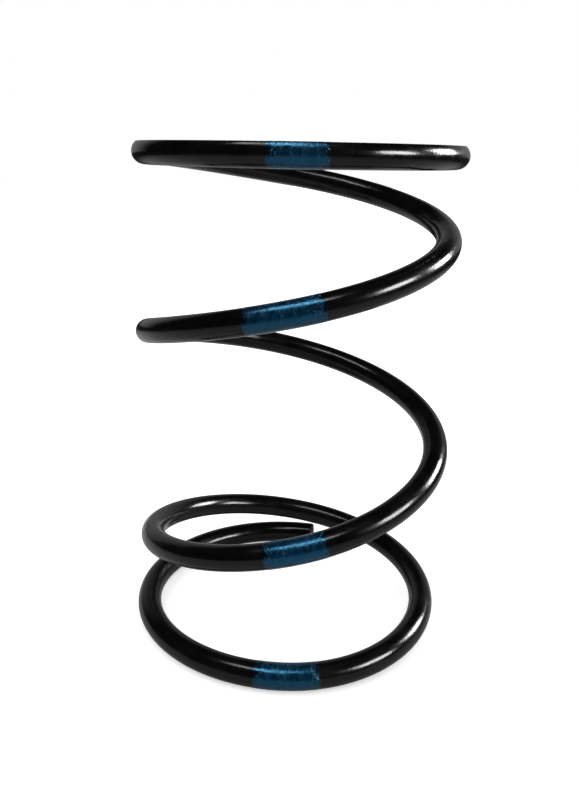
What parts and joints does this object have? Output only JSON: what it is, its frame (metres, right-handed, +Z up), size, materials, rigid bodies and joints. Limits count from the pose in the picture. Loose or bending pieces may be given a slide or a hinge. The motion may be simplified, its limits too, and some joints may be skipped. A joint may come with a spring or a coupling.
{
  "type": "coil spring",
  "caption": "Right-hand wound suspension coil spring of round wire, with closed end coils, a gloss black coat and blue paint marks; it shortens between two seats.",
  "frame": {"origin": "on the spring's axis, at the level of the face that the lower end coil stands on", "axes": "+Z up the spring's axis, -Y towards the side that carries the paint marks, +X to the right of that side"},
  "size_m": [0.1663, 0.1644, 0.2535],
  "materials": {
    "black_coating": "gloss",
    "blue_mark_paint": "gloss"
  },
  "bodies": {
    "lower_end": {"lower_end_coil": "black_coating", "lower_end_mark": "blue_mark_paint", "lower_end_rise": "black_coating"},
    "active_01": {"active_wire_01": "black_coating"},
    "active_02": {"active_wire_02": "black_coating"},
    "active_03": {"active_wire_03": "black_coating"},
    "active_04": {"active_wire_04": "black_coating", "active_mark_04": "blue_mark_paint"},
    "active_05": {"active_wire_05": "black_coating"},
    "active_06": {"active_wire_06": "black_coating"},
    "active_07": {"active_wire_07": "black_coating"},
    "active_08": {"active_wire_08": "black_coating"},
    "active_09": {"active_wire_09": "black_coating"},
    "active_10": {"active_wire_10": "black_coating", "active_mark_10": "blue_mark_paint"},
    "active_11": {"active_wire_11": "black_coating"},
    "active_12": {"active_wire_12": "black_coating"},
    "active_13": {"active_wire_13": "black_coating"},
    "active_14": {"active_wire_14": "black_coating"},
    "upper_end": {"upper_end_run": "black_coating", "upper_end_mark": "blue_mark_paint", "upper_end_coil": "black_coating"}
  },
  "joints": [
    {"name": "twist_01", "type": "hinge", "parent": "lower_end", "child": "active_01", "pos_m": [0.05226, 0.05226, 0.01731], "axis": [-0.2586, -0.9658, 0.017], "range_deg": [0, 1.2], "stiffness_Nm_per_rad": 1630},
    {"name": "twist_02", "type": "hinge", "parent": "active_01", "child": "active_02", "pos_m": [-0.01917, 0.07153, 0.02717], "axis": [0.8627, -0.5054, -0.0173], "range_deg": [0, 4.09], "stiffness_Nm_per_rad": 1630},
    {"name": "twist_03", "type": "hinge", "parent": "active_02", "child": "active_03", "pos_m": [-0.07185, 0.01925, 0.04133], "axis": [0.6621, 0.7467, -0.0645], "range_deg": [0, 7.13], "stiffness_Nm_per_rad": 1630},
    {"name": "twist_04", "type": "hinge", "parent": "active_03", "child": "active_04", "pos_m": [-0.05301, -0.05301, 0.05788], "axis": [-0.5726, 0.8163, -0.0765], "range_deg": [0, 9.27], "stiffness_Nm_per_rad": 1630},
    {"name": "twist_05", "type": "hinge", "parent": "active_04", "child": "active_05", "pos_m": [0.01959, -0.07311, 0.07667], "axis": [-0.9827, -0.1786, -0.0497], "range_deg": [0, 10.62], "stiffness_Nm_per_rad": 1630},
    {"name": "twist_06", "type": "hinge", "parent": "active_05", "child": "active_06", "pos_m": [0.07382, -0.01978, 0.09762], "axis": [-0.2283, -0.9728, -0.0394], "range_deg": [0, 10.91], "stiffness_Nm_per_rad": 1630},
    {"name": "twist_07", "type": "hinge", "parent": "active_06", "child": "active_07", "pos_m": [0.05398, 0.05398, 0.11787], "axis": [0.7461, -0.6611, -0.0794], "range_deg": [0, 10.32], "stiffness_Nm_per_rad": 1630},
    {"name": "twist_08", "type": "hinge", "parent": "active_07", "child": "active_08", "pos_m": [-0.01965, 0.07332, 0.13667], "axis": [0.9238, 0.3607, -0.1284], "range_deg": [0, 9.39], "stiffness_Nm_per_rad": 1630},
    {"name": "twist_09", "type": "hinge", "parent": "active_08", "child": "active_09", "pos_m": [-0.07295, 0.01955, 0.15308], "axis": [0.2861, 0.9511, -0.1161], "range_deg": [0, 8.91], "stiffness_Nm_per_rad": 1630},
    {"name": "twist_10", "type": "hinge", "parent": "active_09", "child": "active_10", "pos_m": [-0.05354, -0.05354, 0.17006], "axis": [-0.6805, 0.7306, -0.0563], "range_deg": [0, 9.29], "stiffness_Nm_per_rad": 1630},
    {"name": "twist_11", "type": "hinge", "parent": "active_10", "child": "active_11", "pos_m": [0.01968, -0.07344, 0.18784], "axis": [-0.9741, -0.2238, -0.0313], "range_deg": [0, 9.7], "stiffness_Nm_per_rad": 1630},
    {"name": "twist_12", "type": "hinge", "parent": "active_11", "child": "active_12", "pos_m": [0.07342, -0.01967, 0.20673], "axis": [0.0057, -0.9991, -0.0427], "range_deg": [0, 8.84], "stiffness_Nm_per_rad": 1630},
    {"name": "compress", "type": "hinge", "parent": "active_12", "child": "active_13", "pos_m": [0.05374, 0.05374, 0.22472], "axis": [0.9906, -0.1306, -0.0417], "range_deg": [0, 6.26], "stiffness_Nm_per_rad": 1630},
    {"name": "twist_14", "type": "hinge", "parent": "active_13", "child": "active_14", "pos_m": [-0.01967, 0.07341, 0.23935], "axis": [0.3891, 0.9205, -0.0353], "range_deg": [0, 2.6], "stiffness_Nm_per_rad": 1630},
    {"name": "twist_15", "type": "hinge", "parent": "active_14", "child": "upper_end", "pos_m": [-0.07341, 0.01967, 0.24826], "axis": [-0.7071, 0.7071, 0.0062], "range_deg": [0, 0.42], "stiffness_Nm_per_rad": 1630}
  ],
  "couplings": [
    {"joint": "twist_01", "follows": "compress", "ratio": 0.19089},
    {"joint": "twist_02", "follows": "compress", "ratio": 0.6531},
    {"joint": "twist_03", "follows": "compress", "ratio": 1.1383},
    {"joint": "twist_04", "follows": "compress", "ratio": 1.4801},
    {"joint": "twist_05", "follows": "compress", "ratio": 1.6958},
    {"joint": "twist_06", "follows": "compress", "ratio": 1.7424},
    {"joint": "twist_07", "follows": "compress", "ratio": 1.6484},
    {"joint": "twist_08", "follows": "compress", "ratio": 1.4999},
    {"joint": "twist_09", "follows": "compress", "ratio": 1.4228},
    {"joint": "twist_10", "follows": "compress", "ratio": 1.4825},
    {"joint": "twist_11", "follows": "compress", "ratio": 1.5494},
    {"joint": "twist_12", "follows": "compress", "ratio": 1.4117},
    {"joint": "twist_14", "follows": "compress", "ratio": 0.41487},
    {"joint": "twist_15", "follows": "compress", "ratio": 0.066317}
  ]
}
